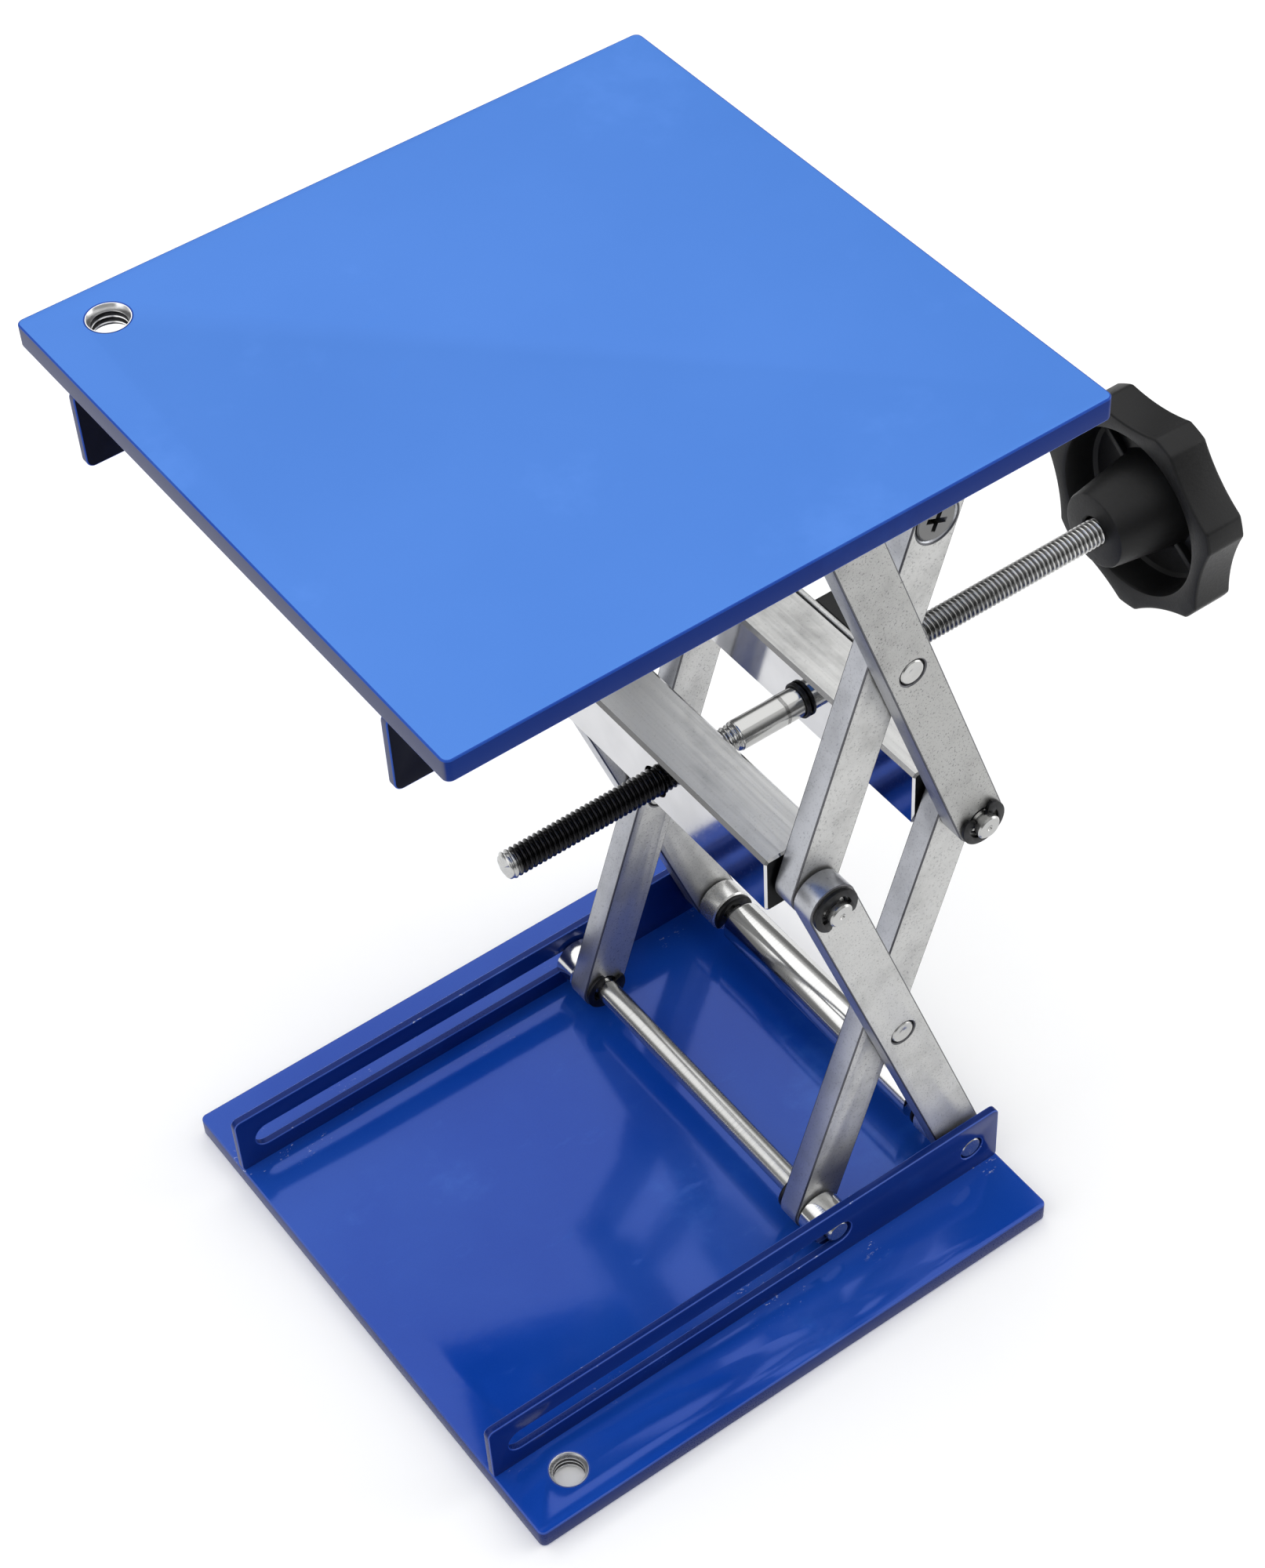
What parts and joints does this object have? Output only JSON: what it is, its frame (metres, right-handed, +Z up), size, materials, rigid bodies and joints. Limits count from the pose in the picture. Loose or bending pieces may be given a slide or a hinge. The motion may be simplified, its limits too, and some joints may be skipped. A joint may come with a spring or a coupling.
{
  "type": "laboratory scissor jack",
  "caption": "Square-platform scissor jack with ribbed plates, crossed flat arms and a lobed knob on a drive screw.",
  "frame": {"origin": "centre of the base plate's underside, which rests on the bench", "axes": "+X along the drive screw towards the knob, +Y across the jack to the far side, +Z up"},
  "size_m": [0.2456, 0.15, 0.2615],
  "materials": {
    "base_blue": "glossy blue enamel",
    "platform_blue": "satin blue enamel",
    "tumbled_aluminium": "tumbled, fine speckle",
    "polished_bar": "polished faces, brushed top",
    "steel": "turned and polished",
    "black_clip": "blackened spring steel",
    "screw_steel": "oiled steel thread",
    "black_plastic": "matte moulded"
  },
  "bodies": {
    "base": {"base_plate": "base_blue", "base_pivot_rod": "steel", "base_pivot_tube": "steel", "base_pivot_clip_near": "black_clip", "base_pivot_clip_far": "black_clip", "base_pivot_sleeve_near": "steel", "base_pivot_sleeve_far": "steel"},
    "lower_outer_arms": {"lower_outer_arm_near": "tumbled_aluminium", "lower_outer_arm_far": "tumbled_aluminium", "rivet_lower_near": "steel", "rivet_lower_far": "steel"},
    "lower_inner_arms": {"lower_inner_arm_near": "tumbled_aluminium", "lower_inner_arm_far": "tumbled_aluminium", "base_slide_rod": "steel", "base_slide_clip_near": "black_clip", "base_slide_clip_far": "black_clip", "base_slide_roller_near": "steel", "base_slide_roller_far": "steel"},
    "upper_inner_arms": {"upper_inner_arm_near": "tumbled_aluminium", "upper_inner_arm_far": "tumbled_aluminium", "tie_rod": "steel", "tie_screw_near": "steel", "tie_screw_far": "steel"},
    "upper_outer_arms": {"upper_outer_arm_near": "tumbled_aluminium", "upper_outer_arm_far": "tumbled_aluminium", "rivet_upper_near": "steel", "rivet_upper_far": "steel", "top_slide_rod": "steel", "top_slide_clip_near": "black_clip", "top_slide_clip_far": "black_clip", "top_slide_sleeve_near": "steel", "top_slide_sleeve_far": "steel"},
    "nut_bar": {"nut_crossbar": "polished_bar", "nut_pin_near": "steel", "nut_pin_far": "steel", "nut_clip_near": "black_clip", "nut_clip_far": "black_clip"},
    "knob_side_bar": {"knob_side_crossbar": "polished_bar", "knob_side_pin_near": "steel", "knob_side_pin_far": "steel", "knob_side_clip_near": "black_clip", "knob_side_clip_far": "black_clip", "cover_strip": "tumbled_aluminium", "bearing_block": "black_plastic"},
    "top": {"top_plate": "platform_blue", "top_pivot_rod": "steel", "top_pivot_clip_near": "black_clip", "top_pivot_clip_far": "black_clip", "top_pivot_roller_near": "steel", "top_pivot_roller_far": "steel"},
    "bush": {"screw_bush": "black_clip"},
    "screw": {"drive_screw": "screw_steel", "knob": "black_plastic"}
  },
  "joints": [
    {"name": "lift", "type": "hinge", "parent": "base", "child": "lower_outer_arms", "pos_m": [0.0669, 0, 0.014], "axis": [0, 1, 0], "range_deg": [-63.2, 0.2]},
    {"name": "lower_cross", "type": "hinge", "parent": "lower_outer_arms", "child": "lower_inner_arms", "pos_m": [0.04655, 0, 0.07237], "axis": [0, 1, 0], "range_deg": [-0.9, 126.9]},
    {"name": "nut_level", "type": "hinge", "parent": "lower_outer_arms", "child": "nut_bar", "pos_m": [0.0262, 0, 0.13075], "axis": [0, 1, 0], "range_deg": [-0.7, 63.7]},
    {"name": "upper_inner_turn", "type": "hinge", "parent": "lower_outer_arms", "child": "upper_inner_arms", "pos_m": [0.0262, 0, 0.13075], "axis": [0, 1, 0], "range_deg": [-0.9, 126.9]},
    {"name": "knob_bar_level", "type": "hinge", "parent": "lower_inner_arms", "child": "knob_side_bar", "pos_m": [0.0669, 0, 0.13075], "axis": [0, 1, 0], "range_deg": [-63.7, 0.7]},
    {"name": "upper_outer_turn", "type": "hinge", "parent": "lower_inner_arms", "child": "upper_outer_arms", "pos_m": [0.0669, 0, 0.13075], "axis": [0, 1, 0], "range_deg": [-126.9, 0.9]},
    {"name": "platform_level", "type": "hinge", "parent": "upper_inner_arms", "child": "top", "pos_m": [0.0669, 0, 0.2475], "axis": [0, 1, 0], "range_deg": [-63.7, 0.7]},
    {"name": "screw_spin", "type": "hinge", "parent": "knob_side_bar", "child": "bush", "pos_m": [0.062, 0, 0.13075], "axis": [1, 0, 0], "continuous": true},
    {"name": "screw_feed", "type": "slide", "parent": "bush", "child": "screw", "axis": [1, 0, 0], "range_m": [-0.0412, 0.0003]}
  ],
  "couplings": [
    {"joint": "lower_cross", "follows": "lift", "ratio": -2},
    {"joint": "nut_level", "follows": "lift", "ratio": -1},
    {"joint": "upper_inner_turn", "follows": "lift", "ratio": -2},
    {"joint": "knob_bar_level", "follows": "lift", "ratio": 1},
    {"joint": "upper_outer_turn", "follows": "lift", "ratio": 2},
    {"joint": "platform_level", "follows": "lift", "ratio": 1},
    {"joint": "screw_feed", "follows": "lift", "m_per_rad": 0.0371}
  ]
}
